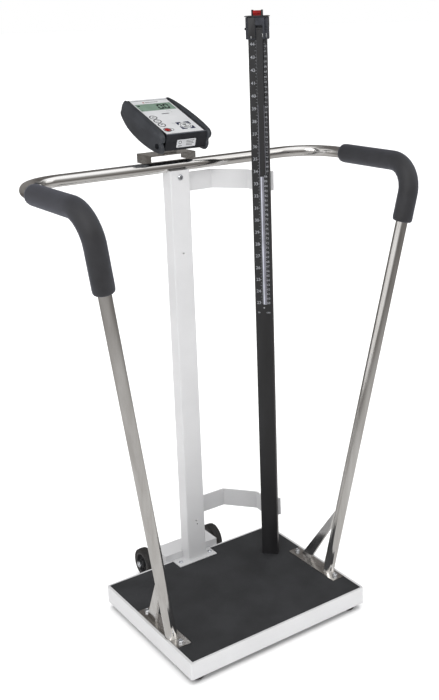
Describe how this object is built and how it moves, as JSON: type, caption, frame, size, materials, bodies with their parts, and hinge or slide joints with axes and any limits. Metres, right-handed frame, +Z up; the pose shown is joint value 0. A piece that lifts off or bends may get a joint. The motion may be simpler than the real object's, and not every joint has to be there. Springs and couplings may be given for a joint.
{
  "type": "patient scale with handrail and height rod",
  "caption": "Stand-on patient weighing scale: low platform with rubber mat, bent tubular handrail with foam grips, column-mounted tilting indicator, telescoping height rod and transport wheels.",
  "frame": {"origin": "on the floor under the platform's centre", "axes": "+Z up; +X to the right of a person who stands on the platform and faces the indicator, along the platform's front edge; +Y to the back, where the column and wheels are"},
  "size_m": [0.7551, 0.457, 1.2422],
  "materials": {
    "white_powder_coat": "smooth white powder coat",
    "mat_rubber": "black textured rubber",
    "foot_rubber": "black rubber",
    "load_cell_aluminium": "machined",
    "polished_stainless": "polished stainless",
    "zinc_fasteners": "zinc plated",
    "grip_foam": "soft foam",
    "wheel_plastic": "moulded",
    "wheel_rubber": "moulded rubber",
    "black_anodised_rod": "black anodised",
    "inner_rod_aluminium": "mill finish",
    "reading_strip_plastic": "satin",
    "red_plastic": "moulded",
    "indicator_plastic": "fine grain",
    "keypad_film": "satin film",
    "key_red_film": "satin film",
    "display_glass": "grey-green display",
    "circuit_board": "solder mask"
  },
  "bodies": {
    "base": {"platform_pan": "white_powder_coat", "underframe": "white_powder_coat", "column_base_plate": "white_powder_coat", "column_tube": "white_powder_coat", "wheel_bracket": "white_powder_coat", "upper_strap": "white_powder_coat", "lower_strap": "white_powder_coat", "mat": "mat_rubber", "foot_front_left": "foot_rubber", "foot_front_right": "foot_rubber", "foot_back_left": "foot_rubber", "foot_back_right": "foot_rubber", "rod_foot_plug": "foot_rubber", "load_cell_front_left": "load_cell_aluminium", "load_cell_front_right": "load_cell_aluminium", "load_cell_back_left": "load_cell_aluminium", "load_cell_back_right": "load_cell_aluminium", "handrail": "polished_stainless", "leg_plate_left": "polished_stainless", "leg_plate_right": "polished_stainless", "brace_left": "polished_stainless", "brace_right": "polished_stainless", "indicator_bracket": "polished_stainless", "tilt_yoke": "polished_stainless", "column_screw": "polished_stainless", "base_screw_left": "zinc_fasteners", "base_screw_right": "zinc_fasteners", "leg_bolt_front_left": "zinc_fasteners", "leg_bolt_front_right": "zinc_fasteners", "leg_bolt_back_left": "zinc_fasteners", "leg_bolt_back_right": "zinc_fasteners", "axle": "zinc_fasteners", "axle_nut_left": "zinc_fasteners", "axle_nut_right": "zinc_fasteners", "tilt_bolt": "zinc_fasteners", "grip_left": "grip_foam", "grip_right": "grip_foam", "rod_outer": "black_anodised_rod", "reading_strip": "reading_strip_plastic"},
    "wheel_left": {"wheel_hub_left": "wheel_plastic", "wheel_tyre_left": "wheel_rubber"},
    "wheel_right": {"wheel_hub_right": "wheel_plastic", "wheel_tyre_right": "wheel_rubber"},
    "rod_slider": {"rod_inner": "inner_rod_aluminium", "head_block": "black_anodised_rod", "head_lid": "black_anodised_rod", "headpiece_pin": "zinc_fasteners"},
    "headpiece": {"headpiece_arm": "black_anodised_rod"},
    "release": {"release_button": "red_plastic"},
    "indicator": {"indicator_lower": "indicator_plastic", "indicator_upper": "indicator_plastic", "cheek_left": "indicator_plastic", "cheek_right": "indicator_plastic", "keypad_overlay": "keypad_film", "display_panel": "display_glass", "circuit_board": "circuit_board"},
    "key_top_body": {"key_top": "keypad_film"},
    "key_second_body": {"key_second": "keypad_film"},
    "key_third_body": {"key_third": "keypad_film"},
    "key_power_body": {"key_power": "key_red_film"}
  },
  "joints": [
    {"name": "wheel_left_spin", "type": "hinge", "parent": "base", "child": "wheel_left", "pos_m": [0, 0.228, 0.035], "axis": [1, 0, 0], "continuous": true},
    {"name": "wheel_right_spin", "type": "hinge", "parent": "base", "child": "wheel_right", "pos_m": [0, 0.228, 0.035], "axis": [1, 0, 0], "continuous": true},
    {"name": "height_rod_slide", "type": "slide", "parent": "base", "child": "rod_slider", "axis": [0, 0, 1], "range_m": [0, 0.8]},
    {"name": "headpiece_fold", "type": "hinge", "parent": "rod_slider", "child": "headpiece", "pos_m": [0.13823, 0.05923, 1.206], "axis": [0.7071, -0.7071, 0], "range_deg": [-90, 0]},
    {"name": "release_press", "type": "slide", "parent": "rod_slider", "child": "release", "axis": [0, 0, -1], "range_m": [0, 0.003], "stiffness_N_per_m": 900, "springref_m": -0.0008},
    {"name": "indicator_tilt", "type": "hinge", "parent": "base", "child": "indicator", "pos_m": [0, 0.19193, 0.98701], "axis": [1, 0, 0], "range_deg": [-20.7, 10]},
    {"name": "key_top_press", "type": "slide", "parent": "indicator", "child": "key_top_body", "axis": [0, 0.3535, -0.9354], "range_m": [0, 0.0008], "stiffness_N_per_m": 1500, "springref_m": -0.0003},
    {"name": "key_second_press", "type": "slide", "parent": "indicator", "child": "key_second_body", "axis": [0, 0.3535, -0.9354], "range_m": [0, 0.0008], "stiffness_N_per_m": 1500, "springref_m": -0.0003},
    {"name": "key_third_press", "type": "slide", "parent": "indicator", "child": "key_third_body", "axis": [0, 0.3535, -0.9354], "range_m": [0, 0.0008], "stiffness_N_per_m": 1500, "springref_m": -0.0003},
    {"name": "key_power_press", "type": "slide", "parent": "indicator", "child": "key_power_body", "axis": [0, 0.3535, -0.9354], "range_m": [0, 0.0008], "stiffness_N_per_m": 1500, "springref_m": -0.0003}
  ]
}
